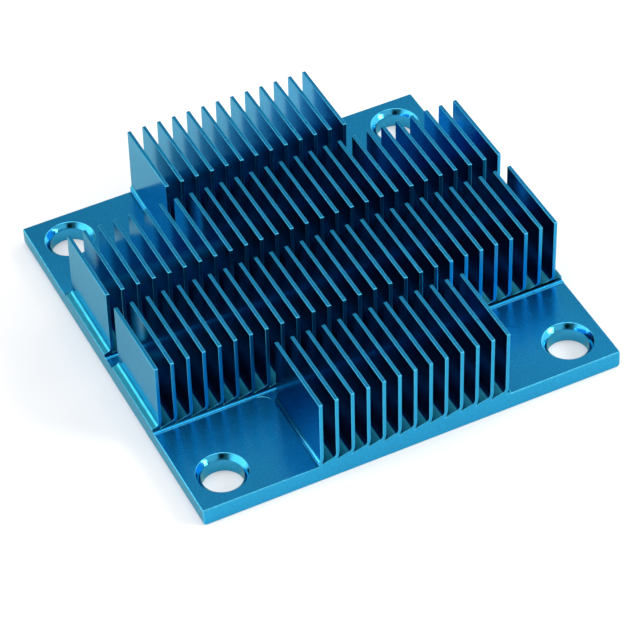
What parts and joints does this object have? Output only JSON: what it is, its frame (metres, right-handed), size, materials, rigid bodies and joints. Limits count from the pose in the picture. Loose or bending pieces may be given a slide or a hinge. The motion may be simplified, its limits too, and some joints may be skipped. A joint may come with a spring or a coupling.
{
  "type": "pin fin heat sink",
  "caption": "Square skived pin fin heat sink, cross-cut into rows of thin blade fins, with milled corner pockets and countersunk push-pin holes.",
  "frame": {"origin": "centre of the plate's underside", "axes": "+Z from the underside to the fin tops, Y along the fins, +X across the fins towards the side they lean to"},
  "size_m": [0.045, 0.045, 0.01],
  "materials": {
    "anodised_aluminium": "bright blue anodised, semi-gloss"
  },
  "bodies": {
    "root": {"heat_sink": "anodised_aluminium"}
  },
  "joints": []
}
